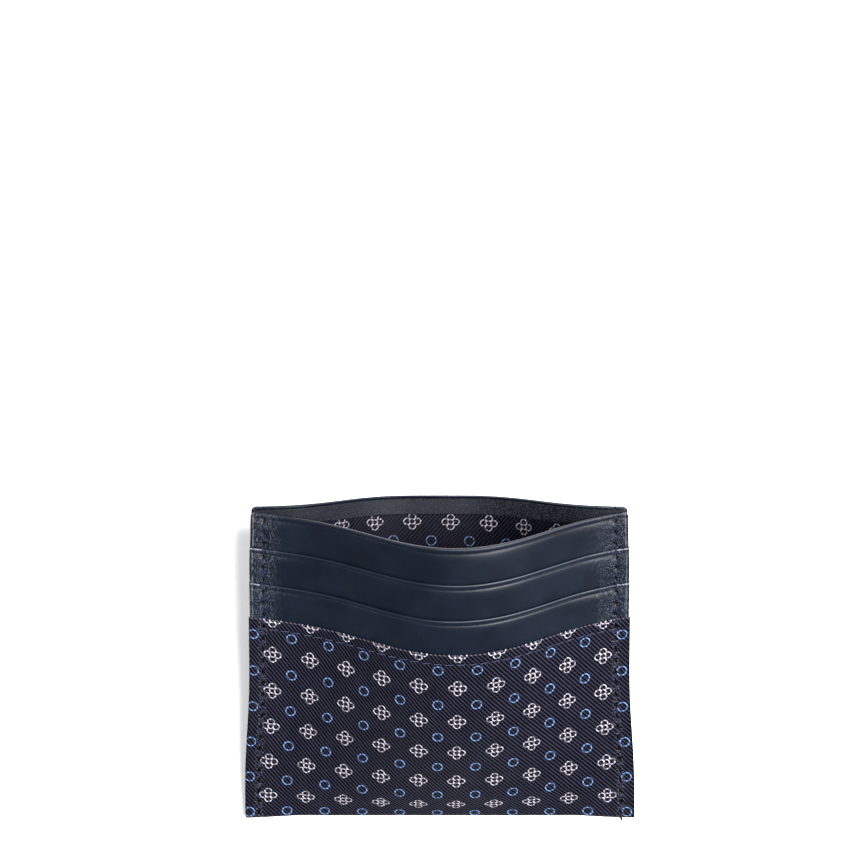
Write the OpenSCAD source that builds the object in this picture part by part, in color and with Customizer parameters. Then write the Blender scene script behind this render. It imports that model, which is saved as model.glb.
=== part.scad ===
// Soft card holder in silk and leather, lying on its back with the centre pocket pushed open.
// X runs across the holder, Y from the bottom fold to the mouth, Z up through its thickness.
// Every sheet is a thin closed solid that follows one of two base surfaces: the front, which
// bows up from the plane of the side seams, and the back, which sinks from the seams to the table.

/* [Size] */
// Width across the side seams, laid flat
width = 100; // [90:1:112]
// Height of the silk panel above the bottom fold
silk_h = 53.6; // [48:0.1:58]
// Height of each leather band that shows above the next one
tier_step = 8.9; // [7:0.1:11]
// Depth of the leather facing inside the mouth
facing_h = 4; // [3.5:0.1:6]
// How much taller the back stands than the front
back_extra = 1; // [0.5:0.5:2]
// Width of the flat margin outside each side seam
margin_w = 3.8; // [3:0.1:5]

/* [Opening] */
// How far the pushed-open front bows out of the seam plane
front_bow = 14.5; // [11:0.5:18]
// Part of the bow that follows the broad cosine, the rest follows the narrow one
broad_share = 0.22; // [0.1:0.02:0.9]
// How the bow grows up the cloth: 1 grows evenly, 2 fills out early
bow_growth = 1.9; // [1.2:0.1:2.2]
// How much the bow leans to the right
lean = 0.13; // [0:0.01:0.2]
// Slope of the side seams above the table, in degrees
seam_tilt = 11.8; // [9:0.2:14]
// Half-width share of the back that lies flat on the table
flat_share = 0.14; // [0.14:0.02:0.3]
// How far the middle of the front is drawn down towards the fold
front_creep = 3.5; // [0:0.1:4]
// How far the middle of the back is pushed up from the fold
back_creep = 0.5; // [0:0.1:2.5]

/* [Layers] */
// Thickness of the leather of the front and back panels
panel_t = 0.65; // [0.5:0.05:0.8]
// Thickness of each leather slot strip
strip_t = 0.55; // [0.4:0.05:0.7]
// Thickness of the pocket lining
lining_t = 0.2; // [0.15:0.05:0.3]
// Thickness of the stiffening board
stiffener_t = 0.25; // [0.2:0.05:0.4]
// Thickness of the cloth behind each slot strip
slot_cloth_t = 0.15; // [0.1:0.05:0.2]
// Thickness of the interlining under the silk
interlining_t = 0.15; // [0.1:0.05:0.3]
// Thickness of the outer silk
silk_t = 0.3; // [0.2:0.05:0.4]
// Share of the stack's thickness that is left at the bottom fold
fold_share = 0.5; // [0.4:0.05:0.7]

/* [Stitching] */
// Distance of the seam stitches from the side edge
stitch_inset = 3.2; // [2.5:0.1:3.6]
// Distance from one stitch to the next
stitch_pitch = 3; // [2.5:0.1:4]
// Length of one stitch on the surface
stitch_len = 2.4; // [1.5:0.1:2.4]
// Thread radius of the side seams
seam_thread_r = 0.26; // [0.15:0.01:0.35]
// Thread radius of the silk hems
hem_thread_r = 0.12; // [0.08:0.01:0.2]
// Distance of the hem stitches below the silk's top edge
hem_inset = 2.6; // [1.5:0.1:3.5]

/* [Hidden] */

// Colours
leather_blue = [0.13, 0.15, 0.2];
silk_navy = [0.1, 0.1, 0.15];
cloth_black = [0.07, 0.07, 0.09];
board_grey = [0.55, 0.53, 0.5];
thread_navy = [0.12, 0.15, 0.28];

// Heights up the cloth, measured from the fold
low_h = silk_h - 5 * tier_step;
middle_h = silk_h + tier_step;
top_h = silk_h + 2 * tier_step;
front_h = silk_h + 3 * tier_step;
facing_low = front_h - facing_h;
taper_h = 40;
row_heights = concat([0, low_h / 2, low_h], [for (k = [4:-1:-1]) silk_h - k * tier_step],
    [top_h, facing_low, front_h]);

// Positions across the cloth: a flat margin at each side and even steps between
half_w = width / 2;
bow_half = half_w - margin_w;
columns = 18;
spans = concat([-half_w], [for (k = [0:columns - 2]) -bow_half + 2 * bow_half * k / (columns - 2)],
    [half_w]);

// Layer offsets from the base surface outwards
gap = 0.05;
lining_at = 2 * gap;
stiffener_at = lining_at + lining_t + gap;
panel_at = stiffener_at + stiffener_t + gap;
middle_cloth_at = panel_at + panel_t + gap;
middle_strip_at = middle_cloth_at + slot_cloth_t + gap;
lower_cloth_at = middle_strip_at + strip_t + gap;
lower_strip_at = lower_cloth_at + slot_cloth_t + gap;
interlining_at = lower_strip_at + strip_t + gap;
silk_at = interlining_at + interlining_t + gap;
stack_t = silk_at + silk_t;
panel_out = panel_at + panel_t;

// Fold and placing
fold_r = stack_t * fold_share;
fold_steps = 8;
hem_lift = 1.5 * (2 * hem_thread_r + gap);
back_h = front_h + back_extra;
reach = back_h + back_creep;
climb_power = 2 * bow_growth - 1;
centre_y = (reach - fold_r) / 2;
rod_fn = 16;

function smooth(u) = u * u * (3 - 2 * u);
function taper(t) = fold_share + (1 - fold_share) * smooth(max(0, min(1, t / taper_h)));
function sigma(s) = max(-1, min(1, s / bow_half));

// Creep of the cloth, full above the lowest row and nothing at the seams or the fold itself
function slip(creep, s, t) = creep * (1 - pow(s / half_w, 2)) * min(1, t / low_h);

// Shape of the front's bow across, and how it grows up the cloth
function bow(s) = broad_share * cos(90 * sigma(s))
    + (1 - broad_share) * (1 + cos(180 * sigma(s))) / 2 + lean * sin(180 * sigma(s));
function left_over(t) = max(0, 1 - t / front_h);
function grown(t) = 1 - pow(left_over(t), bow_growth);

// Shape of the back across: 1 where it lies flat on the table and 0 at the seams
function sink(s) = (1 + cos(180 * max(0, (abs(sigma(s)) - flat_share) / (1 - flat_share)))) / 2;

// Height of the base surface above the table where the back lies flat: the silk touches the
// table up to its hem, and beyond the hem the thinner stack comes down to the table at the mouth
function rest_h(t) = t <= silk_h
    ? stack_t * taper(t) + hem_lift * max(0, 1 - (silk_h - t) / tier_step)
    : stack_t + hem_lift - (stack_t + hem_lift - panel_out) * (t - silk_h) / (back_h - silk_h);

// Distance across for every position, walked in steps that keep the cloth's own length
function walk(depths) = [for (i = 0, x = 0; i <= columns;
    x = x + (i < columns ? sqrt(pow(spans[i + 1] - spans[i], 2) - pow(depths[i + 1] - depths[i], 2)) : 0),
    i = i + 1) x];
function centred(xs) = [for (x = xs) x - xs[columns] / 2];
function front_xs(t) = centred(walk([for (s = spans) front_bow * grown(t) * bow(s)]));

// The back spans the same chord as the front, because the side seams join them
function back_xs(t) = let (
    own = centred(walk([for (s = spans) t * tan(seam_tilt) * sink(s)])),
    fit = front_xs(t)[columns] / own[columns]) [for (x = own) x * fit];

// A point given by its place along and out of the seam plane
function seam_point(x, along, out) = [x,
    along * cos(seam_tilt) - out * sin(seam_tilt) - centre_y,
    along * sin(seam_tilt) + out * cos(seam_tilt) + fold_r];

function front_slope(s, t) = atan(bow(s) * front_bow * bow_growth / front_h
    * pow(left_over(t), bow_growth - 1));

// Length that the front loses to its climb out of the seam plane
function climb_loss(s, t) = pow(bow(s) * front_bow * bow_growth, 2) / (2 * front_h * climb_power)
    * (1 - pow(left_over(t), climb_power));

function front_point(s, x, t, off) = let (
    u = max(0, t - slip(front_creep, s, t)),
    a = front_slope(s, u),
    o = off * taper(t))
    seam_point(x, u - climb_loss(s, u) - o * sin(a), front_bow * grown(u) * bow(s) + o * cos(a));

function back_angle(s) = atan2((1 - sink(s)) * sin(seam_tilt),
    (1 - sink(s)) * cos(seam_tilt) + sink(s));

function back_point(s, x, t, off) = let (
    u = t + slip(back_creep, s, t),
    o = off * taper(t),
    b = back_angle(s))
    [x,
    u * ((1 - sink(s)) * cos(seam_tilt) + sink(s)) + o * sin(b) - centre_y,
    (1 - sink(s)) * (fold_r + u * sin(seam_tilt)) + sink(s) * rest_h(t) - o * cos(b)];

// A point on the bottom fold, from the front at share 0 to the back at share 1
function fold_point(s, share, off) = let (
    from = 90 + front_slope(s, 0) + seam_tilt,
    to = 270 + back_angle(s),
    a = from + (to - from) * share,
    o = off * fold_share)
    [s, o * cos(a) - centre_y, o * sin(a) + fold_r];

function front_row(t, off) = let (xs = front_xs(t))
    [for (i = [0:columns]) front_point(spans[i], xs[i], t, off)];
function back_row(t, off) = let (xs = back_xs(t))
    [for (i = [0:columns]) back_point(spans[i], xs[i], t, off)];
function fold_row(share, off) = [for (s = spans) fold_point(s, share, off)];

function rows_between(low, high) = [for (t = row_heights) if (t >= low && t <= high) t];
function reversed(list) = [for (i = [len(list) - 1:-1:0]) list[i]];

// The back's uppermost row stands taller than the front's
function back_height(t) = t < front_h ? t : back_h;

function front_sheet(low, high, off) = [for (t = rows_between(low, high)) front_row(t, off)];
function back_sheet(low, high, off) = [for (t = rows_between(low, high)) back_row(back_height(t), off)];
function wrapped_sheet(high, off) = concat(
    reversed(front_sheet(0, high, off)),
    [for (k = [1:fold_steps - 1]) fold_row(k / fold_steps, off)],
    back_sheet(0, high, off));

// Closed solid between two matching grids of points
module skin(inner, outer) {
    rows = len(inner);
    cols = columns + 1;
    side = rows * cols;
    points = concat([for (row = inner) each row], [for (row = outer) each row]);
    last_row = rows - 1;
    last_col = cols - 1;
    cells = [for (r = [0:last_row - 1], c = [0:last_col - 1]) r * cols + c];
    faces = concat(
        [for (p = cells) each quad(p, p + cols, p + cols + 1, p + 1)],
        [for (p = cells) let (q = p + side) each quad(q, q + 1, q + cols + 1, q + cols)],
        [for (c = [0:last_col - 1]) each quad(c, c + 1, c + 1 + side, c + side)],
        [for (c = [0:last_col - 1]) let (p = last_row * cols + c) each quad(p + 1, p, p + side, p + 1 + side)],
        [for (r = [0:last_row - 1]) let (p = r * cols) each quad(p + cols, p, p + side, p + cols + side)],
        [for (r = [0:last_row - 1]) let (p = r * cols + last_col)
            each quad(p, p + cols, p + cols + side, p + side)]);
    polyhedron(points = points, faces = faces, convexity = 8);
}

// Four-sided cell as two triangles that share the diagonal from its first corner
function quad(a, b, c, d) = [[a, b, c], [a, c, d]];

module front_layer(low, high, at, thick) {
    skin(reversed(front_sheet(low, high, at)), reversed(front_sheet(low, high, at + thick)));
}

module back_layer(low, high, at, thick) {
    skin(back_sheet(low, high, at), back_sheet(low, high, at + thick));
}

module wrapped_layer(high, at, thick) {
    skin(wrapped_sheet(high, at), wrapped_sheet(high, at + thick));
}

// Straight round bar between two points
module rod(a, b, r) {
    d = b - a;
    translate(a)
        rotate([0, acos(d[2] / norm(d)), atan2(d[1], d[0])])
            cylinder(h = norm(d), r = r, $fn = rod_fn);
}

// Outermost layer offset at a height: silk, lower strip, middle strip or bare panel
function skin_off(t) = t < silk_h ? stack_t
    : t < middle_h ? lower_strip_at + strip_t
    : t < top_h ? middle_strip_at + strip_t
    : panel_out;

// One seam stitch lies on the flat margin; face is 1 on the front and -1 on the back
module seam_stitch(side, face, low) {
    high = low + stitch_len;
    over = max(skin_off(low) * taper(low), skin_off(high) * taper(high)) + seam_thread_r + gap / 2;
    function at(t) = seam_point(side * (front_xs(t)[columns] - stitch_inset), t, face * over);
    rod(at(low), at(high), seam_thread_r);
}

// Both faces of one side seam; the back starts one stitch higher, clear of the table
module seam_thread(side) {
    count = floor((front_h - stitch_pitch / 3) / stitch_pitch);
    for (k = [0:count - 1]) {
        low = 0.8 + k * stitch_pitch;
        seam_stitch(side, 1, low);
        if (k > 0) seam_stitch(side, -1, low);
    }
}

// Stitches along the silk's top edge, two to each span between the seams
module hem_stitches(face) {
    t = silk_h - hem_inset;
    off = stack_t + hem_thread_r + gap / 2;
    lift = off + hem_thread_r / 2;
    row = face > 0 ? front_row(t, lift) : back_row(t, off);
    for (i = [1:columns - 2]) {
        step = row[i + 1] - row[i];
        rod(row[i] + step * 0.05, row[i] + step * 0.45, hem_thread_r);
        rod(row[i] + step * 0.55, row[i] + step * 0.95, hem_thread_r);
    }
}

// Wrapped sheets
module outer_silk() { color(silk_navy) wrapped_layer(silk_h, silk_at, silk_t); }
module silk_interlining() { color(cloth_black) wrapped_layer(silk_h, interlining_at, interlining_t); }
module pocket_lining() { color(silk_navy) wrapped_layer(facing_low, lining_at, lining_t); }

// Front sheets
module front_top_tier() { color(leather_blue) front_layer(low_h, front_h, panel_at, panel_t); }
module front_middle_tier() { color(leather_blue) front_layer(silk_h, top_h, middle_strip_at, strip_t); }
module front_lower_tier() {
    color(leather_blue) front_layer(silk_h - tier_step, middle_h, lower_strip_at, strip_t);
}
module front_middle_slot_lining() {
    color(cloth_black) front_layer(low_h, middle_h, middle_cloth_at, slot_cloth_t);
}
module front_lower_slot_lining() {
    color(cloth_black) front_layer(low_h, silk_h, lower_cloth_at, slot_cloth_t);
}
module front_stiffener() { color(board_grey) front_layer(low_h, facing_low, stiffener_at, stiffener_t); }
module front_facing() {
    color(leather_blue) front_layer(facing_low, front_h, lining_at, panel_at - gap - lining_at);
}

// Back sheets
module back_top_tier() { color(leather_blue) back_layer(low_h, front_h, panel_at, panel_t); }
module back_middle_tier() { color(leather_blue) back_layer(silk_h, top_h, middle_strip_at, strip_t); }
module back_lower_tier() {
    color(leather_blue) back_layer(silk_h - tier_step, middle_h, lower_strip_at, strip_t);
}
module back_middle_slot_lining() {
    color(cloth_black) back_layer(low_h, middle_h, middle_cloth_at, slot_cloth_t);
}
module back_lower_slot_lining() {
    color(cloth_black) back_layer(low_h, silk_h, lower_cloth_at, slot_cloth_t);
}
module back_stiffener() { color(board_grey) back_layer(low_h, facing_low, stiffener_at, stiffener_t); }
module back_facing() {
    color(leather_blue) back_layer(facing_low, front_h, lining_at, panel_at - gap - lining_at);
}

// Threads
module left_seam_thread() { color(thread_navy) seam_thread(-1); }
module right_seam_thread() { color(thread_navy) seam_thread(1); }
module front_hem_thread() { color(thread_navy) hem_stitches(1); }
module back_hem_thread() { color(thread_navy) hem_stitches(-1); }

outer_silk();
silk_interlining();
pocket_lining();
front_top_tier();
front_middle_tier();
front_lower_tier();
front_middle_slot_lining();
front_lower_slot_lining();
front_stiffener();
front_facing();
back_top_tier();
back_middle_tier();
back_lower_tier();
back_middle_slot_lining();
back_lower_slot_lining();
back_stiffener();
back_facing();
left_seam_thread();
right_seam_thread();
front_hem_thread();
back_hem_thread();
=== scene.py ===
"""Soft card holder in patterned silk and navy leather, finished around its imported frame.

Lengths are in millimetres until a mesh is made. s runs across a sheet from its middle, t up the
cloth from the bottom fold, and off outwards from the base surface that the sheet follows.
"""
import math

import bpy
import numpy as np
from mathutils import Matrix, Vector


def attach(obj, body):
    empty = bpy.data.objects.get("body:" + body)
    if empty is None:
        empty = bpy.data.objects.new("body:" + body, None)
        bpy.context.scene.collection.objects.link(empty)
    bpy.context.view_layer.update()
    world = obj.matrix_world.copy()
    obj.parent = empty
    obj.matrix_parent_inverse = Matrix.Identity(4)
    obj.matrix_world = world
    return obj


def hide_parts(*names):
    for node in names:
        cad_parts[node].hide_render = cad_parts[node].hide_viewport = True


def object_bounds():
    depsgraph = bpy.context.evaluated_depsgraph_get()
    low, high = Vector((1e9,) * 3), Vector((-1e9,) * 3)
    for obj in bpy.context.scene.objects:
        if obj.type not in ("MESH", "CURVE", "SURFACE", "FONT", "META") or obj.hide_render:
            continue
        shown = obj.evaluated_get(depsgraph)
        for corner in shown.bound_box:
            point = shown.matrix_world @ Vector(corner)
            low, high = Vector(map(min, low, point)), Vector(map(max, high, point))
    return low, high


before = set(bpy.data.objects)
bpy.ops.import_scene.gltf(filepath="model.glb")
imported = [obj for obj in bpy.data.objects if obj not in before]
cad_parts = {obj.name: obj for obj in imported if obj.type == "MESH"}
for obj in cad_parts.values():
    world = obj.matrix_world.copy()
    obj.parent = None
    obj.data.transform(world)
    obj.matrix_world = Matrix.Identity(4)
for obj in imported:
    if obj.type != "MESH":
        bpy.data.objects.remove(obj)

cad_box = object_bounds()
MM = 0.001

# Sizes of the holder
width = (cad_box[1][0] - cad_box[0][0]) / MM
silk_h = 53.6
tier_step = 8.9
facing_h = 4.0
back_extra = 1.0
margin_w = 3.8

# Shape of the opening
front_bow = 14.5
broad_share = 0.22
bow_growth = 1.9
lean = 0.13
seam_tilt = math.radians(11.8)
flat_share = 0.14
front_creep = 3.5
back_creep = 0.5
kink_blur = 0.7

# Small departures of the real outline from the even shape
corner_reach = 16
corner_sag = 0.6
corner_spread = 0.55
side_waist = 0.75
side_flare = 0.3

# Layers, from the base surface outwards
panel_t = 0.65
strip_t = 0.55
lining_t = 0.2
stiffener_t = 0.25
slot_cloth_t = 0.15
interlining_t = 0.15
silk_t = 0.3
fold_share = 0.5
gap = 0.05
lining_at = 2 * gap
stiffener_at = lining_at + lining_t + gap
panel_at = stiffener_at + stiffener_t + gap
middle_cloth_at = panel_at + panel_t + gap
middle_strip_at = middle_cloth_at + slot_cloth_t + gap
lower_cloth_at = middle_strip_at + strip_t + gap
lower_strip_at = lower_cloth_at + slot_cloth_t + gap
interlining_at = lower_strip_at + strip_t + gap
silk_at = interlining_at + interlining_t + gap
stack_t = silk_at + silk_t
panel_out = panel_at + panel_t
middle_out = middle_strip_at + strip_t
lower_out = lower_strip_at + strip_t

# Stitching
seam_inset = 3.2
seam_pitch = 3.0
seam_r = 0.21
hem_pitch = 2.9
hem_r = 0.09
cad_hem_r = 0.12
hem_inset = 2.6
hole_size = 0.32

# How far below a turned edge its crease runs, and how much of the silk's edge is turned in
crease_depth = 1.35
turned_hem = 3.2
turn_blend = 0.4

# How far the shown sheets stand past the even width, and how far short of it the hidden ones stop
leather_past = 0.15
silk_past = 0.35
under_short = 0.4

# Steps across a sheet that can't be seen, near its sides and in its middle
hidden_steps = (0.8, 1.8)

# Heights up the cloth
low_h = silk_h - 5 * tier_step
middle_h = silk_h + tier_step
top_h = silk_h + 2 * tier_step
front_h = silk_h + 3 * tier_step
back_h = front_h + back_extra
facing_low = front_h - facing_h
taper_h = 40.0

# Places
half_w = width / 2
bow_half = half_w - margin_w
seam_s = half_w - seam_inset
first_hole = 0.5
fold_r = stack_t * fold_share
fold_run = math.pi * fold_r * 0.93
hem_lift = 1.5 * (2 * cad_hem_r + gap)
centre_y = (back_h + back_creep - fold_r) / 2
climb_power = 2 * bow_growth - 1
leather_half = half_w + leather_past
under_half = half_w - under_short
silk_half = half_w + silk_past


# ---------------------------------------------------------------- base surfaces

def smooth(u):
    return u * u * (3 - 2 * u)


def rise(x, low, high):
    """0 before low, 1 after high, and smooth between them."""
    return smooth(np.clip((x - low) / (high - low), 0, 1))


def bell(x, size):
    return np.exp(-(x / size) ** 2)


def taper(t):
    return fold_share + (1 - fold_share) * rise(t, 0, taper_h)


s_steps = np.linspace(-half_w, half_w, 1001)


def blurred(values):
    """A shape across the holder with the kink at the seams made soft."""
    reach = np.arange(-40, 41) * (s_steps[1] - s_steps[0])
    weights = bell(reach, kink_blur)
    return np.convolve(values, weights / weights.sum(), "same")


sigma_steps = np.clip(s_steps / bow_half, -1, 1)
bow_steps = blurred(
    broad_share * np.cos(sigma_steps * math.pi / 2)
    + (1 - broad_share) * (1 + np.cos(sigma_steps * math.pi)) / 2
    + lean * np.sin(sigma_steps * math.pi))
past_flat = np.clip((abs(sigma_steps) - flat_share) / (1 - flat_share), 0, None)
sink_steps = blurred((1 + np.cos(math.pi * past_flat)) / 2)


def bow(s):
    return np.interp(s, s_steps, bow_steps)


def sink(s):
    return np.interp(s, s_steps, sink_steps)


def left_over(t):
    return np.clip(1 - t / front_h, 0, 1)


def grown(t):
    return 1 - left_over(t) ** bow_growth


def slip(creep, s, t):
    return creep * (1 - (s / half_w) ** 2) * np.clip(t / low_h, 0, 1)


def rest_h(t):
    """Height of the base surface above the table, where the back lies flat."""
    on_silk = stack_t * taper(t) + hem_lift * np.clip(1 - (silk_h - t) / tier_step, 0, None)
    fall = (stack_t + hem_lift - panel_out) * (t - silk_h) / (back_h - silk_h)
    return np.where(t <= silk_h, on_silk, stack_t + hem_lift - fall)


t_steps = np.linspace(0, back_h, 161)


def walked(depths):
    """Places across for a row of depths, walked in steps that keep the cloth's own length."""
    run = np.sqrt(np.diff(s_steps) ** 2 - np.diff(depths) ** 2)
    across = np.concatenate([[0], np.cumsum(run)])
    return across - across[-1] / 2


front_table = np.array([walked(front_bow * grown(t) * bow_steps) for t in t_steps])
back_table = np.array([walked(t * math.tan(seam_tilt) * sink_steps) for t in t_steps])
back_table *= (front_table[:, -1] / back_table[:, -1])[:, None]


def looked_up(table, s, t):
    col = (s + half_w) / width * (table.shape[1] - 1)
    row = np.clip(t / back_h, 0, 1) * (table.shape[0] - 1)
    c = np.clip(col.astype(int), 0, table.shape[1] - 2)
    r = np.minimum(row.astype(int), table.shape[0] - 2)
    low = table[r, c] + (table[r, c + 1] - table[r, c]) * (col - c)
    high = table[r + 1, c] + (table[r + 1, c + 1] - table[r + 1, c]) * (col - c)
    return low + (high - low) * (row - r)


def sag(s, t):
    """How far the fold's two corners hang below its middle."""
    return corner_sag * rise(abs(s), half_w - corner_reach, half_w) * np.exp(-t / 12)


def spread(s, t):
    """The sewn sides draw in half way up the silk and stand out again above it, and the right
    corner of the fold stands out further than the left one."""
    sides = side_flare * bell(t - 67, 9) - side_waist * bell(t - 33, 16)
    corner = corner_spread * rise(s, half_w - corner_reach, half_w) * np.exp(-t / 25)
    return sides * s / half_w + corner


def seam_point(x, along, out):
    return np.stack([
        x,
        along * math.cos(seam_tilt) - out * math.sin(seam_tilt) - centre_y,
        along * math.sin(seam_tilt) + out * math.cos(seam_tilt) + fold_r], axis=-1)


def front_slope(s, t):
    return np.arctan(bow(s) * front_bow * bow_growth / front_h * left_over(t) ** (bow_growth - 1))


def front(s, t, off):
    u = np.maximum(0, t - slip(front_creep, s, t))
    climb = (bow(s) * front_bow * bow_growth) ** 2 / (2 * front_h * climb_power)
    along = u - climb * (1 - left_over(u) ** climb_power)
    angle = front_slope(s, u)
    o = off * taper(t)
    out = front_bow * grown(u) * bow(s) + o * np.cos(angle)
    x = looked_up(front_table, s, t) + spread(s, t)
    return seam_point(x, along - o * np.sin(angle) - sag(s, t), out)


def back_angle(s):
    up = 1 - sink(s)
    return np.arctan2(up * math.sin(seam_tilt), up * math.cos(seam_tilt) + sink(s))


def back(s, t, off):
    u = t + slip(back_creep, s, t)
    o = off * taper(t)
    angle = back_angle(s)
    up = 1 - sink(s)
    y = u * (up * math.cos(seam_tilt) + sink(s)) + o * np.sin(angle) - centre_y - sag(s, t)
    z = up * (fold_r + u * math.sin(seam_tilt)) + sink(s) * rest_h(t) - o * np.cos(angle)
    return np.stack([looked_up(back_table, s, t) + spread(s, t), y, z], axis=-1)


def fold(s, share, off):
    start = math.pi / 2 + front_slope(s, 0) + seam_tilt
    stop = 3 * math.pi / 2 + back_angle(s)
    angle = start + (stop - start) * share
    o = off * fold_share
    y = o * np.cos(angle) - centre_y - sag(s, 0)
    return np.stack([s + spread(s, 0.0), y, o * np.sin(angle) + fold_r], axis=-1)


def wrapped(s, along, off):
    """A sheet that runs down the front, round the bottom fold and up the back. along is below
    zero on the front and past the fold's own run on the back."""
    share = np.clip(along / fold_run, 0, 1)
    on_front = front(s, np.maximum(-along, 0), off)
    on_back = back(s, np.maximum(along - fold_run, 0), off)
    on_fold = fold(s, share, off)
    picked = np.where((along < 0)[..., None], on_front, on_fold)
    return np.where((along > fold_run)[..., None], on_back, picked)


def cloth_height(along):
    """How far up the cloth a place on a wrapped sheet is, on either face."""
    return np.maximum(np.maximum(-along, along - fold_run), 0)


# ---------------------------------------------------------------- small relief

def ripples(s, t, size, seed, count=40):
    """Soft random relief from about -1 to 1, whose bumps are about size across."""
    draw = np.random.default_rng(seed)
    total = np.zeros_like(s)
    for _ in range(count):
        angle = draw.uniform(0, 2 * math.pi)
        pace = 2 * math.pi / size * draw.uniform(0.6, 1.5)
        phase = draw.uniform(0, 2 * math.pi)
        total += np.sin(pace * (s * math.cos(angle) + t * math.sin(angle)) + phase)
    return total / math.sqrt(count)


def hole_gap(t):
    """Distance up or down to the nearest seam hole."""
    return (t - first_hole + seam_pitch / 2) % seam_pitch - seam_pitch / 2


def seam_pull(s, t, depth):
    """The seam draws the sheets in, most of all at each hole."""
    across = abs(s) - seam_s
    rhythm = 0.6 + 0.4 * np.cos(2 * math.pi * (t - first_hole) / seam_pitch)
    holes = bell(np.hypot(across + 0.3 * hole_gap(t), 0.6 * hole_gap(t)), 0.36)
    above_fold = rise(t, 0.5, 3.5)
    return -(depth * bell(across, 1.0) * rhythm + 0.3 * holes) * above_fold


def edge_bead(below):
    """A creased line under a turned edge, the bead above it and the soft bulge below it."""
    inside = np.clip(below / 1.3, 0, 1)
    under = np.maximum(below - crease_depth, 0)
    bulge = 0.46 * (1 - np.exp(-under / 1.5)) * np.exp(-under / 3.5)
    return 0.1 * np.sin(math.pi * inside) + bulge - 0.09 * bell(below - crease_depth, 0.17)


def leather_relief(s, t, top, seed):
    near = rise(abs(s), 35, 45.5)
    crumple = 0.03 * near * ripples(s * 1.6, t * 0.8, 1.6, seed)
    pebble = 0.015 * near * ripples(s, t, 0.8, seed + 1)
    side_line = -0.05 * bell(abs(s) - leather_half + 0.95, 0.16)
    slow = 0.05 * ripples(s, t, 17, seed + 2)
    return crumple + pebble + side_line + slow + edge_bead(top - t) + seam_pull(s, t, 0.16)


def silk_relief(s, along):
    t = cloth_height(along)
    below = silk_h - t
    hem_dip = -0.1 * bell(below - hem_inset, 0.35)
    hem_bead = 0.05 * np.sin(math.pi * np.clip(below / hem_inset, 0, 1))
    tucks = 0.04 * rise(abs(s), 38, 46) * ripples(s * 1.4, t, 3.0, 31)
    slow = 0.05 * ripples(s, along, 15, 32)
    return hem_dip + hem_bead + tucks + slow + seam_pull(s, t, 0.28)


# ---------------------------------------------------------------- sheets as meshes

def stretch(start, stop, step):
    count = max(1, round(abs(stop - start) / step))
    return np.linspace(start, stop, count + 1)[:-1]


def lines(marks, steps, round_r):
    """Places from the first mark to the last, each stretch at its own step, and close together
    where the two ends round off."""
    turn = round_r * (1 - np.cos(np.linspace(0, math.pi / 2, 5)))
    low = marks[0] + turn
    high = marks[-1] - turn[::-1]
    stops = [low[-1], *marks[1:-1], high[0]]
    body = [stretch(a, b, step) for a, b, step in zip(stops, stops[1:], steps)]
    return np.concatenate([low[:-1], *body, high])


def across(half, round_r, fine=0.24, coarse=0.9):
    """Places across a sheet: fine near the seams and wider in the middle."""
    band = 13.0
    return lines([-half, band - half, half - band, half], [fine, coarse, fine], round_r)


def quarter(distance, radius):
    return np.sqrt(np.clip(1 - (1 - np.clip(distance / radius, 0, 1)) ** 2, 0, 1))


def slab(place, s, rows, inner, outer, relief, round_r, corner=0.0):
    """Points and faces of a closed thin sheet with rounded edges, and each point's place on the
    cloth. inner and outer give the offsets of its two faces along its rows."""
    grid_s, grid_t = np.meshgrid(s, rows)
    to_side = s.max() - abs(grid_s)
    drop = corner * (1 - quarter(to_side, corner)) if corner else 0
    moved_t = grid_t - drop * rise(grid_t, rows[-1] - 5, rows[-1])
    low_off = inner(moved_t)
    high_off = outer(moved_t)
    round_all = quarter(to_side, round_r)
    round_all = round_all * quarter(grid_t - rows[0], round_r) * quarter(rows[-1] - grid_t, round_r)
    middle = (low_off + high_off) / 2
    half = (high_off - low_off) / 2 * round_all
    shape = relief(grid_s, moved_t) * round_all
    outside = place(grid_s, moved_t, middle + half + shape)
    inside = place(grid_s, moved_t, middle - half)

    n_rows, n_cols = grid_s.shape
    top = np.arange(n_rows * n_cols).reshape(n_rows, n_cols)
    bottom = top.copy()
    core = np.arange((n_rows - 2) * (n_cols - 2)).reshape(n_rows - 2, n_cols - 2)
    bottom[1:-1, 1:-1] = core + top.size
    points = np.concatenate([outside.reshape(-1, 3), inside[1:-1, 1:-1].reshape(-1, 3)])
    cloth = np.stack([grid_s, moved_t], axis=-1)
    flat = np.concatenate([cloth.reshape(-1, 2), cloth[1:-1, 1:-1].reshape(-1, 2)])
    faces = np.concatenate([cells(top), cells(bottom)[:, ::-1]])
    return points, outward(points, faces).tolist(), flat


def cells(index):
    corners = [index[:-1, :-1], index[:-1, 1:], index[1:, 1:], index[1:, :-1]]
    return np.stack(corners, axis=-1).reshape(-1, 4)


def outward(points, faces):
    """The faces, turned so that a closed mesh has its normals outside."""
    a, b, c, d = (points[faces[:, k]] for k in range(4))
    volume = np.einsum("ij,ij->i", np.cross(a, b), c) + np.einsum("ij,ij->i", np.cross(a, c), d)
    return faces if volume.sum() > 0 else faces[:, ::-1]


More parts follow.
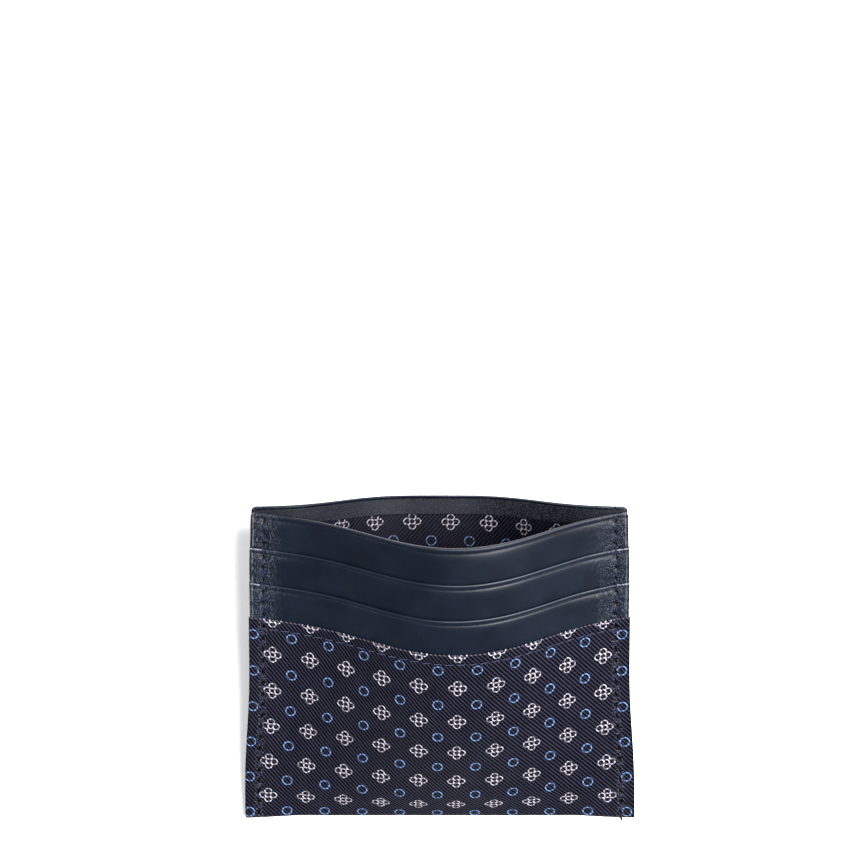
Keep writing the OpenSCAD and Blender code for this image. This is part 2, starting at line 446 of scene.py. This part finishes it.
def piece(name, points, faces, flat, material, slot, nodes):
    """One Blender object in the frame, riding on the holder's only body. Nothing of it reaches
    below the table, and its points' places on the cloth are kept as the UV layer "cloth"."""
    mesh = bpy.data.meshes.new(name)
    on_table = np.maximum(points, (-math.inf, -math.inf, 0))
    mesh.from_pydata((on_table * MM).tolist(), [], faces)
    layer = mesh.uv_layers.new(name="cloth")
    corner_points = np.empty(len(mesh.loops), int)
    mesh.loops.foreach_get("vertex_index", corner_points)
    layer.data.foreach_set("uv", flat[corner_points].astype(np.float32).ravel())
    mesh.polygons.foreach_set("use_smooth", np.ones(len(mesh.polygons), bool))
    mesh.materials.append(material)
    mesh.update()
    made = bpy.data.objects.new(name, mesh)
    bpy.context.scene.collection.objects.link(made)
    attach(made, "root")
    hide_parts(*nodes)
    return made


# ---------------------------------------------------------------- threads as meshes

def tube(path, radii, ply=0.0, twist=0.0, sides=10):
    """A closed tube along a path. ply is how deep the groove between its strands is, and twist
    how many turns the strands make."""
    tangent = np.gradient(path, axis=0)
    tangent /= np.linalg.norm(tangent, axis=1)[:, None]
    up = np.array([0.0, 0.0, 1.0]) - tangent * tangent[:, 2:3]
    up /= np.linalg.norm(up, axis=1)[:, None]
    side = np.cross(tangent, up)
    angle = np.linspace(0, 2 * math.pi, sides, endpoint=False)
    along = np.linspace(0, 1, len(path))
    lobes = 1 + ply * np.cos(2 * (angle[None, :] - 2 * math.pi * twist * along[:, None] / 2))
    reach = radii[:, None] * lobes
    ring = side[:, None] * np.cos(angle)[None, :, None] + up[:, None] * np.sin(angle)[None, :, None]
    points = (path[:, None] + ring * reach[..., None]).reshape(-1, 3)
    index = np.arange(len(path) * sides).reshape(len(path), sides)
    wall = cells(np.concatenate([index, index[:, :1]], axis=1))
    ends = [path[0], path[-1]]
    points = np.concatenate([points, ends])
    first, last = len(points) - 2, len(points) - 1
    turned = np.roll(index, -1, axis=1)
    caps = [[first, first, turned[0, k], index[0, k]] for k in range(sides)]
    caps += [[last, last, index[-1, k], turned[-1, k]] for k in range(sides)]
    flat = np.stack(np.meshgrid(angle, along * twist), axis=-1).reshape(-1, 2)
    flat = np.concatenate([flat, [[0, 0], [0, twist]]])
    return points, wall, np.array(caps), flat


def thread_piece(name, tubes, material, nodes):
    """All the stitches of one seam as one object."""
    points, faces, flat = [], [], []
    count = 0
    for shape, wall, caps, place in tubes:
        body = outward(shape, np.concatenate([wall, caps]))
        faces += [list(dict.fromkeys((face + count).tolist())) for face in body]
        points.append(shape)
        flat.append(place)
        count += len(shape)
    return piece(name, np.concatenate(points), faces, np.concatenate(flat), material, "thread",
                 nodes)


def skin_off(t):
    """Offset of the outermost sheet at a height."""
    below = [t < silk_h, t < middle_h, t < top_h]
    return np.select(below, [stack_t, lower_out, middle_out], panel_out)


def seam_stitch(side, place, low):
    """One stitch of a side seam, from one hole up to the next and sunk into both."""
    w = np.linspace(0, 1, 19)
    t = low + seam_pitch * (0.16 + 0.68 * w)
    s = side * seam_s + 0.4 * (0.5 - w)
    off = np.maximum(skin_off(t - 0.5), skin_off(t + 0.5))
    off = np.convolve(np.pad(off, 2, "edge"), np.ones(5) / 5, "valid")
    off = off + seam_pull(s, t, 0.16) * 0.6
    base = place(s, t, off)
    out = place(s, t, off + 1) - base
    out /= np.linalg.norm(out, axis=1)[:, None]
    end = abs(2 * w - 1)
    sunk = 0.22 * (t < silk_h)
    height = 0.06 - 0.6 * end ** 4 - sunk
    radii = seam_r * (1 - 0.3 * end ** 5)
    return tube(base + out * height[:, None], radii, ply=0.13, twist=2.0, sides=12)


def seam_tubes(side):
    count = int((front_h - 1) / seam_pitch)
    holes = [first_hole + k * seam_pitch for k in range(count)]
    tubes = [seam_stitch(side, front, low) for low in holes]
    tubes += [seam_stitch(side, back, low) for low in holes[1:]]
    return tubes


def hem_tubes(place, high_s):
    """The fine stitches under the silk's top edge on one face."""
    t_line = silk_h - hem_inset
    count = int(2 * high_s / hem_pitch)
    tubes = []
    for k in range(count):
        w = np.linspace(0, 1, 11)
        s = -high_s + hem_pitch * (k + 0.08 + 0.8 * w)
        t = np.full_like(s, t_line) + 0.16 * (w - 0.5)
        base = place(s, t, np.full_like(s, stack_t))
        out = place(s, t, np.full_like(s, stack_t + 1)) - base
        end = abs(2 * w - 1)
        height = 0.04 - 0.3 * end ** 6
        radii = hem_r * (1 - 0.3 * end ** 4)
        tubes.append(tube(base + out * height[:, None], radii, ply=0.1, twist=2.0, sides=8))
    return tubes


def thread_tail(side):
    """The cut end of the seam's thread, which stands out under the bottom fold."""
    w = np.linspace(0, 1, 9)
    start = fold(np.array([side * seam_s]), np.array([0.35]), np.array([stack_t]))[0]
    away = np.array([side * 0.15, -0.85, -0.25])
    sideways = np.array([0.25, 0, 0.12])
    path = start + away * (w[:, None] - 0.2) + sideways * np.sin(3.0 * w)[:, None]
    return tube(path, 0.34 * (1 - 0.3 * w), ply=0.15, twist=1.5, sides=12)


# ---------------------------------------------------------------- materials

class Maker:
    """Short names for the shader nodes that the materials are made of."""

    def __init__(self, name):
        self.material = bpy.data.materials.new(name)
        self.material.use_nodes = True
        self.tree = self.material.node_tree
        self.shader = self.tree.nodes["Principled BSDF"]
        self.uv = self.tree.nodes.new("ShaderNodeUVMap")
        self.uv.uv_map = "cloth"
        split = self.tree.nodes.new("ShaderNodeSeparateXYZ")
        self.link(self.uv.outputs[0], split.inputs[0])
        self.u = split.outputs[0]
        self.v = split.outputs[1]

    def link(self, source, target):
        if isinstance(source, (int, float)):
            target.default_value = source
        elif isinstance(source, tuple):
            target.default_value = (*source, 1)[:4]
        else:
            self.tree.links.new(source, target)

    def math(self, kind, *values):
        node = self.tree.nodes.new("ShaderNodeMath")
        node.operation = kind
        for value, socket in zip(values, node.inputs):
            self.link(value, socket)
        return node.outputs[0]

    def add(self, a, b):
        return self.math("ADD", a, b)

    def sub(self, a, b):
        return self.math("SUBTRACT", a, b)

    def mul(self, a, b):
        return self.math("MULTIPLY", a, b)

    def length(self, a, b):
        return self.math("SQRT", self.add(self.mul(a, a), self.mul(b, b)))

    def wave(self, phase):
        """A wave from 0 to 1, one for each whole number of phase."""
        return self.math("MULTIPLY_ADD", self.math("SINE", self.mul(phase, 2 * math.pi)), 0.5, 0.5)

    def wrap(self, value, half):
        return self.math("WRAP", value, half, -half)

    def rise(self, value, low, high):
        node = self.tree.nodes.new("ShaderNodeMapRange")
        node.interpolation_type = "SMOOTHSTEP"
        self.link(value, node.inputs["Value"])
        node.inputs["From Min"].default_value = min(low, high)
        node.inputs["From Max"].default_value = max(low, high)
        node.inputs["To Min"].default_value = 0 if low < high else 1
        node.inputs["To Max"].default_value = 1 if low < high else 0
        return node.outputs["Result"]

    def cloth_vector(self, stretch_u=1.0, stretch_v=1.0):
        node = self.tree.nodes.new("ShaderNodeVectorMath")
        node.operation = "MULTIPLY"
        self.link(self.uv.outputs[0], node.inputs[0])
        node.inputs[1].default_value = (stretch_u, stretch_v, 1)
        return node.outputs[0]

    def noise(self, size, detail=2.0, stretch_u=1.0, stretch_v=1.0):
        node = self.tree.nodes.new("ShaderNodeTexNoise")
        self.link(self.cloth_vector(stretch_u, stretch_v), node.inputs["Vector"])
        node.inputs["Scale"].default_value = 1 / size
        node.inputs["Detail"].default_value = detail
        return node.outputs[0]

    def pebbles(self, size, feature="F1", stretch_u=1.0):
        node = self.tree.nodes.new("ShaderNodeTexVoronoi")
        node.feature = feature
        self.link(self.cloth_vector(stretch_u), node.inputs["Vector"])
        node.inputs["Scale"].default_value = 1 / size
        return node.outputs["Distance"]

    def mix_values(self, share, a, b):
        return self.add(self.mul(a, self.sub(1, share)), self.mul(b, share))

    def mix(self, share, a, b):
        node = self.tree.nodes.new("ShaderNodeMix")
        node.data_type = "RGBA"
        self.link(share, node.inputs["Factor"])
        self.link(a, node.inputs[6])
        self.link(b, node.inputs[7])
        return node.outputs[2]

    def finish(self, colour, roughness, height, depth, **constants):
        """Joins the colour, roughness and relief to the shader. depth is in millimetres."""
        self.link(colour, self.shader.inputs["Base Color"])
        self.link(roughness, self.shader.inputs["Roughness"])
        bump = self.tree.nodes.new("ShaderNodeBump")
        bump.inputs["Distance"].default_value = depth * MM
        self.link(height, bump.inputs["Height"])
        self.link(bump.outputs[0], self.shader.inputs["Normal"])
        for name, value in constants.items():
            self.link(value, self.shader.inputs[name.replace("_", " ")])
        return self.material


# Colours, as linear light
leather_dark = (0.0012, 0.0025, 0.0058)
leather_mid = (0.0023, 0.0042, 0.0090)
# leather_wear_and_highlight: the pale of wear near the seams, also used as painted sheen and painted
# highlight lines
leather_wear_and_highlight = (0.09, 0.10, 0.13)
# edge_glint_pale: painted highlight where the turned top edges catch the light outside the seams
edge_glint_pale = (0.20, 0.20, 0.21)
# hole_black: painted shade inside the stitch holes, and the dark paint on the sheets' side edges
hole_black = (0.001, 0.001, 0.0015)
silk_dark = (0.0002, 0.0002, 0.0009)
silk_line = (0.022, 0.0215, 0.038)
flower_cream = (0.37, 0.345, 0.39)
ring_blue = (0.11, 0.20, 0.39)
thread_blue = (0.0015, 0.002, 0.007)
thread_pale = (0.022, 0.025, 0.08)
hem_blue = (0.006, 0.008, 0.02)
hem_pale = (0.06, 0.075, 0.14)
facing_dark = (0.0004, 0.0011, 0.0030)
facing_mid = (0.0010, 0.0019, 0.0044)
# facing_ridge_glint: painted glints on the grain's ridges
facing_ridge_glint = (0.042, 0.048, 0.066)
slot_black = (0.006, 0.006, 0.009)
slot_grey = (0.03, 0.03, 0.038)
felt_black = (0.012, 0.012, 0.016)
felt_grey = (0.05, 0.05, 0.06)
board_dark = (0.19, 0.17, 0.145)
board_pale = (0.34, 0.31, 0.27)
board_speck = (0.08, 0.07, 0.06)
paper_white = (0.93, 0.93, 0.93)

# The silk's pattern: how far apart its flowers are, and how steep its twill is
lattice = 9.75
twill_slant = 1.12


def shaded(colour, amount):
    return tuple(part * amount for part in colour)


def painted_hole_shade(m, t):
    """1 inside the holes of the side seams, where black is painted as the shade inside each hole. t is
    the height up the cloth.
    """
    to_seam = m.sub(m.math("ABSOLUTE", m.u), seam_s)
    to_hole = m.wrap(m.sub(t, first_hole), seam_pitch / 2)
    slanted = m.add(to_seam, m.mul(to_hole, 0.3))
    return m.rise(m.length(slanted, m.mul(to_hole, 0.5)), hole_size + 0.12, hole_size)


def leather(name, top, tone, edge_glint_share):
    """Smooth navy leather, crumpled near the seams and paler there, partly from wear and partly from
    painted sheen that is stronger on the lit right side, with painted highlight lines inside each side
    edge and along the turned top edge. edge_glint_share is how strong the painted highlight on its top
    edge is outside the seams."""
    m = Maker(name)
    aside = m.math("ABSOLUTE", m.u)
    near = m.rise(m.add(aside, m.mul(m.noise(3, 2), 4.0)), 43.4, 48.5)
    # The right half, which faces the key light; the painted sheen and highlights below are stronger on
    # it
    right = m.rise(m.u, -5, 5)
    bent = m.add(m.mul(m.noise(2.0, 3), 5.0), m.mul(m.noise(0.6, 2), 1.3))
    wrinkles = m.wave(m.add(m.mul(m.u, 1.1), bent))
    grains = m.pebbles(0.36)
    hair = m.noise(0.22, 3)
    crease = m.mul(m.rise(wrinkles, 0.4, 1.0), m.rise(m.noise(0.45, 3), 0.36, 0.66))
    fleck = m.rise(m.add(m.sub(1, grains), m.mul(hair, 0.6)), 0.85, 1.15)
    marks = m.mix_values(right, m.mul(crease, 0.72), m.mul(fleck, 1.7))
    height = m.add(m.mul(marks, near), m.mul(hair, 0.22))

    base = m.mix(m.rise(m.noise(9, 3), 0.3, 0.7), shaded(leather_dark, tone),
                 shaded(leather_mid, tone))
    patchy = m.rise(m.noise(1.6, 3), 0.3, 0.65)
    # Pale marks near the seams: partly wear, partly painted sheen, with more of it on the lit right side
    colour = m.mix(m.mul(m.mul(marks, near), m.add(0.12, m.mul(patchy, 0.6))), base, leather_wear_and_highlight)
    # A painted highlight line inside each side edge, where the edge catches the light
    side_line = m.rise(m.math("ABSOLUTE", m.sub(aside, leather_half - 0.8)), 0.25, 0.0)
    colour = m.mix(m.mul(side_line, m.mul(patchy, 0.7)), colour, leather_wear_and_highlight)
    side_dark = m.rise(aside, leather_half - 0.4, leather_half - 0.15)
    colour = m.mix(m.mul(side_dark, 0.85), colour, hole_black)
    below = m.sub(top, m.v)
    # A painted highlight along the turned top edge, stronger on the lit right side
    rim = m.rise(m.math("ABSOLUTE", m.sub(below, 0.25)), 0.2, 0.05)
    colour = m.mix(m.mul(rim, m.add(0.06, m.mul(right, 0.2))), colour, leather_wear_and_highlight)
    # Painted highlight in patches where the turned top edge catches the light outside the seams
    outside = m.rise(aside, seam_s - 0.3, seam_s + 0.2)
    top_edge_glint = m.mul(m.mul(rim, outside), m.rise(m.noise(0.7, 2), 0.36, 0.6))
    colour = m.mix(m.mul(top_edge_glint, edge_glint_share), colour, edge_glint_pale)
    # Stitch holes painted black as the shade inside them
    colour = m.mix(painted_hole_shade(m, m.v), colour, hole_black)
    roughness = m.add(0.29, m.mul(m.noise(0.6, 3), 0.12))
    return m.finish(colour, roughness, height, 0.13, Specular_IOR_Level=0.12)


def grained_leather(name):
    """The finely pebbled leather that faces the mouth."""
    m = Maker(name)
    grains = m.pebbles(0.34)
    hair = m.noise(0.16, 3)
    ridge = m.rise(m.add(m.sub(1, grains), m.mul(m.sub(hair, 0.5), 0.5)), 0.52, 0.88)
    height = m.add(m.mul(ridge, 0.8), m.mul(hair, 0.35))
    patch = m.rise(m.noise(7, 2), 0.35, 0.7)
    base = m.mix(patch, facing_dark, facing_mid)
    # Pale flecks on the grain's ridges: painted glints where the ridges catch the light
    colour = m.mix(m.mul(ridge, m.add(0.3, m.mul(m.noise(1.5, 2), 0.7))), base, facing_ridge_glint)
    # Stitch holes painted black as the shade inside them
    colour = m.mix(painted_hole_shade(m, m.v), colour, hole_black)
    return m.finish(colour, m.add(0.46, m.mul(hair, 0.2)), height, 0.22, Specular_IOR_Level=0.13)


def floret(m, x, y):
    """Distance to the outline of a flower: four round petals about a small ring."""
    ax = m.math("ABSOLUTE", x)
    ay = m.math("ABSOLUTE", y)
    far = m.math("MAXIMUM", ax, ay)
    near = m.math("MINIMUM", ax, ay)
    from_middle = m.length(x, y)
    loop = m.math("ABSOLUTE", m.sub(m.length(m.sub(far, 1.38), near), 0.9))
    petal = m.math("MAXIMUM", loop, m.mul(m.sub(0.8, from_middle), 3.0))
    middle = m.math("ABSOLUTE", m.sub(from_middle, 0.74))
    return m.math("MINIMUM", petal, middle)


def silk(name, origin, turn, hem_shift, tone_and_shade):
    """Navy twill silk with cream flowers and pale blue rings in between. origin is the place of
    one flower, turn the pattern's small skew, hem_shift how far the turned hem draws it, and
    tone_and_shade how light its yarns are drawn: below 1 it darkens them, partly for the silk's darker
    reverse side and partly as painted shade inside the pocket."""
    m = Maker(name)
    either_face = m.math("MAXIMUM", m.v, m.sub(-fold_run, m.v))
    drawn = m.mul(m.rise(either_face, silk_h - 4.5, silk_h - 0.5), hem_shift)
    u = m.sub(m.sub(m.u, origin[0]), m.mul(m.v, math.sin(turn)))
    v = m.add(m.sub(m.add(m.v, drawn), origin[1]), m.mul(m.u, math.sin(turn)))
    phase = m.mul(m.add(m.v, m.mul(m.u, twill_slant)), 0.81)
    strand = m.mul(m.sub(m.v, m.mul(m.u, twill_slant)), 1.7)
    wobble = m.mul(m.sub(m.noise(1.1, 2), 0.5), 0.3)
    twill = m.wave(m.add(phase, wobble))
    yarn = m.wave(m.add(strand, m.mul(m.noise(2.0, 1), 3.0)))
    line = m.mul(m.math("POWER", twill, 2.2), m.add(0.55, m.mul(yarn, 0.45)))

    jitter = m.mul(m.sub(yarn, 0.5), 0.1)
    fx = m.wrap(m.add(u, jitter), lattice / 2)
    fy = m.wrap(m.sub(v, jitter), lattice / 2)
    rx = m.wrap(m.add(m.add(u, lattice / 2), jitter), lattice / 2)
    ry = m.wrap(m.sub(m.add(v, lattice / 2), jitter), lattice / 2)
    flower = m.rise(floret(m, m.mul(fx, 1.05), m.mul(fy, 1.16)), 0.19, 0.07)
    ring = m.rise(m.math("ABSOLUTE", m.sub(m.length(rx, m.mul(ry, 1.04)), 1.22)), 0.19, 0.07)
    woven = m.add(0.16, m.mul(twill, 0.84))
    flower = m.mul(flower, woven)
    ring = m.mul(ring, woven)

    lit = m.mul(line, m.add(0.5, m.mul(m.noise(5, 2), 0.8)))
    ground = m.mix(lit, silk_dark, shaded(silk_line, tone_and_shade))
    colour = m.mix(flower, ground, shaded(flower_cream, tone_and_shade))
    colour = m.mix(ring, colour, shaded(ring_blue, tone_and_shade))
    lip = m.mul(m.rise(m.math("ABSOLUTE", m.sub(either_face, silk_h - 0.15)), 0.2, 0.05), twill)
    colour = m.mix(m.mul(lip, 0.14), colour, flower_cream)
    aside = m.math("ABSOLUTE", m.u)
    edge = m.rise(aside, silk_half - 0.5, silk_half - 0.1)
    colour = m.mix(m.mul(edge, 0.8), colour, silk_dark)
    beside = m.rise(m.math("ABSOLUTE", m.sub(aside, seam_s)), 1.6, 0.3)
    speck = m.mul(m.rise(m.noise(0.4, 2), 0.56, 0.66), beside)
    colour = m.mix(m.mul(speck, 0.16), colour, shaded(flower_cream, tone_and_shade))
    # Stitch holes painted black as the shade inside them
    colour = m.mix(painted_hole_shade(m, either_face), colour, hole_black)
    height = m.add(m.mul(line, 0.9), m.mul(m.add(flower, ring), 0.3))
    return m.finish(colour, m.add(0.42, m.mul(m.noise(0.5, 2), 0.12)), height, 0.12,
                    Specular_IOR_Level=0.022)


def thread(name, dark, pale):
    m = Maker(name)
    fibre = m.wave(m.add(m.mul(m.u, 2.4), m.mul(m.v, 5.0)))
    fuzz = m.noise(0.5, 3)
    colour = m.mix(m.rise(m.add(m.mul(fibre, 0.6), m.mul(fuzz, 0.5)), 0.3, 0.9), dark, pale)
    return m.finish(colour, m.add(0.5, m.mul(fuzz, 0.15)), fibre, 0.03,
                    Specular_IOR_Level=0.1)


def plain_weave(name, dark, pale, pitch):
    """Thin cloth in a one-over-one weave."""
    m = Maker(name)
    warp = m.wave(m.mul(m.u, 1 / pitch))
    weft = m.wave(m.mul(m.v, 1 / pitch))
    woven = m.math("MAXIMUM", m.mul(warp, m.sub(1, weft)), m.mul(weft, m.sub(1, warp)))
    colour = m.mix(m.mul(woven, m.add(0.6, m.mul(m.noise(2, 2), 0.5))), dark, pale)
    return m.finish(colour, 0.7, woven, 0.04, Specular_IOR_Level=0.25)


def pulp_board(name):
    m = Maker(name)
    fibres = m.noise(0.5, 5, 1.0, 3.0)
    specks = m.rise(m.noise(0.25, 2), 0.62, 0.72)
    colour = m.mix(m.rise(fibres, 0.3, 0.7), board_dark, board_pale)
    colour = m.mix(m.mul(specks, 0.6), colour, board_speck)
    return m.finish(colour, 0.85, fibres, 0.03, Specular_IOR_Level=0.2)


# ---------------------------------------------------------------- the pieces

def level(value):
    """An offset that is the same all over a sheet."""
    return lambda t: np.full_like(t, value)


def no_relief(s, t):
    return np.zeros_like(s)


def turned_in(at, deep_at, top, depth):
    """The inner face of a sheet whose top edge is folded in: it lies deeper near the edge."""
    return lambda t: at - (at - deep_at) * rise(t, top - depth - 0.35, top - depth)


def tier(place, low, top, at, thick, seed, shown_low, corner=0.0, deep_at=None, deep=0.0):
    """One leather sheet on the front or the back. Only what is above shown_low can be seen."""
    rows = lines([low, shown_low, top - 2.2, top], [2.0, 0.36, 0.11], thick / 2)
    inner = level(at) if deep_at is None else turned_in(at, deep_at, top, deep)
    return slab(place, across(leather_half, thick / 2), rows, inner, level(at + thick),
                lambda s, t: leather_relief(s, t, top, seed), thick / 2, corner)


def tiers(face, place, tall, seed):
    """The panel, whose top edge is turned in, and the two strips that step down from it."""
    panel = tier(place, low_h, tall, panel_at, panel_t, seed, top_h - 2,
                 corner=1.3, deep_at=lining_at, deep=0.4)
    piece(face + "_panel_with_turned_edge", *panel,
          leather(face + "_panel_leather", tall, 1.0, 0.05), "leather", [face + "_top_tier"])
    middle = tier(place, silk_h, top_h, middle_strip_at, strip_t, seed + 10, middle_h - 2)
    piece(face + "_middle_strip", *middle,
          leather(face + "_middle_leather", top_h, 1.06, 0.8), "leather", [face + "_middle_tier"])
    lower = tier(place, silk_h - tier_step, middle_h, lower_strip_at, strip_t, seed + 20, silk_h - 2)
    piece(face + "_lower_strip", *lower,
          leather(face + "_lower_leather", middle_h, 1.1, 0.8), "leather", [face + "_lower_tier"])


def mouth_facing(face, place, tall):
    """The leather band inside the mouth."""
    top = tall - 0.8
    thick = panel_at - gap - lining_at
    rows = lines([facing_low, top - 1, top], [0.3, 0.2], thick / 2)
    body = slab(place, across(under_half, thick / 2), rows, level(lining_at),
                level(lining_at + thick), no_relief, thick / 2, corner=0.5)
    piece(face + "_mouth_facing", *body, grained_leather(face + "_facing_leather"),
          "facing_leather", [face + "_facing"])


def slot_linings(face, place):
    """The cloth behind each strip, which makes the card slots."""
    cloth = plain_weave(face + "_slot_weave", slot_black, slot_grey, 0.35)
    thick = slot_cloth_t
    sheets = [("_middle_slot_lining", middle_h, middle_cloth_at),
              ("_lower_slot_lining", silk_h, lower_cloth_at)]
    for name, top, at in sheets:
        rows = lines([low_h, top - 3, top], [2.0, 0.5], thick / 2)
        body = slab(place, across(under_half - 0.2, thick / 2, *hidden_steps), rows, level(at),
                    level(at + thick), no_relief, thick / 2)
        made = piece(face + name + "_cloth", *body, cloth, "slot_cloth", [face + name])


def stiffening_board(face, place):
    """The board that keeps one side flat."""
    thick = stiffener_t
    rows = lines([low_h, facing_low - 0.5], [1.6], thick / 2)
    body = slab(place, across(under_half - 0.3, thick / 2, *hidden_steps), rows, level(stiffener_at),
                level(stiffener_at + thick), no_relief, thick / 2)
    piece(face + "_stiffening_board", *body, pulp_board(face + "_pulp"), "board",
          [face + "_stiffener"])


def wrapped_rows(top, fine, round_r):
    """Places along a wrapped sheet, finer near its two top edges and round the fold."""
    band = 4.0
    marks = [-top, band - top, 0, fold_run, fold_run + top - band, fold_run + top]
    return lines(marks, [fine / 3, fine, fold_run / 14, fine, fine / 3], round_r)


def patterned(body):
    """A wrapped sheet whose place on the cloth counts upwards on the front, as its pattern does."""
    points, faces, flat = body
    return points, faces, flat * (1, -1)


def folded_sheet(name, body, material, slot, node):
    """One sheet of cloth that wraps the bottom fold. flat is its size before it was folded."""
    made = piece(name, *body, material, slot, [node])


def outer_silk():
    """The patterned silk, with its top edges turned in round the interlining."""
    twill = silk("printed_twill", (0.5 * lattice - 0.48, silk_h + 0.6), 0.0, 0.6, 1.0)

    def hem_inner(along):
        deep = rise(cloth_height(along), silk_h - turned_hem - turn_blend, silk_h - turned_hem)
        return silk_at - (silk_at - interlining_at) * deep

    body = slab(wrapped, across(silk_half, silk_t / 2), wrapped_rows(silk_h, 0.4, silk_t / 2),
                hem_inner, level(stack_t), silk_relief, silk_t / 2)
    folded_sheet("silk_wrap", patterned(body), twill, "outer_silk", "outer_silk")


def interlining():
    """The thin cloth that backs the silk between its turned edges."""
    top = silk_h - turned_hem - 0.6
    thick = interlining_t
    felt = plain_weave("interlining_weave", felt_black, felt_grey, 0.5)
    body = slab(wrapped, across(under_half, thick / 2, *hidden_steps), wrapped_rows(top, 1.2, thick / 2),
                level(interlining_at), level(interlining_at + thick), no_relief, thick / 2)
    folded_sheet("silk_interlining_cloth", body, felt, "slot_cloth", "silk_interlining")


def pocket_lining():
    """The same silk inside the pocket, up to the facings on both faces."""
    thick = lining_t
    origin = (1.57, -fold_run - facing_low + 1.9)
    # 0.62 draws the lining darker: partly its reverse side's own tone, partly painted shade inside the
    #                               pocket
    twill = silk("lining_twill", origin, math.radians(-1), 0.0, 0.62)
    body = slab(wrapped, across(under_half, thick / 2), wrapped_rows(facing_low, 0.5, thick / 2),
                level(lining_at), level(lining_at + thick), no_relief, thick / 2)
    folded_sheet("pocket_lining_cloth", patterned(body), twill, "lining_silk", "pocket_lining")


def thread_pieces():
    """The stitches down both sides and under the silk's top edge on both faces."""
    seam_thread = thread("seam_thread", thread_blue, thread_pale)
    hem_thread = thread("hem_thread", hem_blue, hem_pale)
    for side, name in [(-1, "left"), (1, "right")]:
        tubes = seam_tubes(side)
        if side > 0:
            tubes.append(thread_tail(side))
        thread_piece(name + "_seam_stitches", tubes, seam_thread, [name + "_seam_thread"])
    for place, name in [(front, "front"), (back, "back")]:
        thread_piece(name + "_hem_stitches", hem_tubes(place, half_w - 1.6), hem_thread,
                     [name + "_hem_thread"])


# ---------------------------------------------------------------- light, floor and camera

def aim(thing, place, target):
    thing.location = Vector(place) * MM
    ahead = Vector(target) * MM - thing.location
    thing.rotation_euler = ahead.to_track_quat("-Z", "Y").to_euler()


def area_light(name, place, target, size, power):
    data = bpy.data.lights.new(name, "AREA")
    data.shape = "DISK"
    data.size = size * MM
    data.energy = power
    light = bpy.data.objects.new(name, data)
    bpy.context.scene.collection.objects.link(light)
    aim(light, place, target)


def studio():
    """A white floor, a white room, a soft key light from the right and a small one overhead."""
    mesh = bpy.data.meshes.new("floor")
    reach = 3.0
    just_under = 0.03
    low = -just_under * MM
    corners = [(-reach, -reach), (reach, -reach), (reach, reach), (-reach, reach)]
    mesh.from_pydata([(x, y, low) for x, y in corners], [], [(0, 1, 2, 3)])
    m = Maker("floor_paper")
    mesh.uv_layers.new(name="cloth")
    mesh.materials.append(m.finish(paper_white, 0.9, m.noise(0.5, 2), 0.0, Specular_IOR_Level=0.1))
    floor = bpy.data.objects.new("floor", mesh)
    bpy.context.scene.collection.objects.link(floor)

    world = bpy.data.worlds.new("room")
    world.use_nodes = True
    world.node_tree.nodes["Background"].inputs["Color"].default_value = (0.97, 0.98, 1, 1)
    world.node_tree.nodes["Background"].inputs["Strength"].default_value = 0.64
    bpy.context.scene.world = world
    area_light("key", (600, 150, 1020), (0, 0, 8), 800, 60)
    area_light("top", (-70, 90, 1000), (0, 20, 20), 200, 3.0)
    bpy.context.scene.view_settings.view_transform = "Standard"


def camera():
    """Straight above the table and past the mouth, as the light tent's camera hangs."""
    data = bpy.data.cameras.new("camera")
    data.sensor_width = 36
    data.lens = 62.8
    data.clip_start = 0.01
    eye = bpy.data.objects.new("camera", data)
    bpy.context.scene.collection.objects.link(eye)
    eye.location = Vector((-2.35, 58.8, 393.3)) * MM
    bpy.context.scene.camera = eye


camera()
studio()
both = [("front", front, front_h, 100), ("back", back, back_h, 200)]
for face, place, tall, seed in both:
    tiers(face, place, tall, seed)
    mouth_facing(face, place, tall)
for face, place, _, _ in both:
    slot_linings(face, place)
    stiffening_board(face, place)
outer_silk()
interlining()
pocket_lining()
thread_pieces()
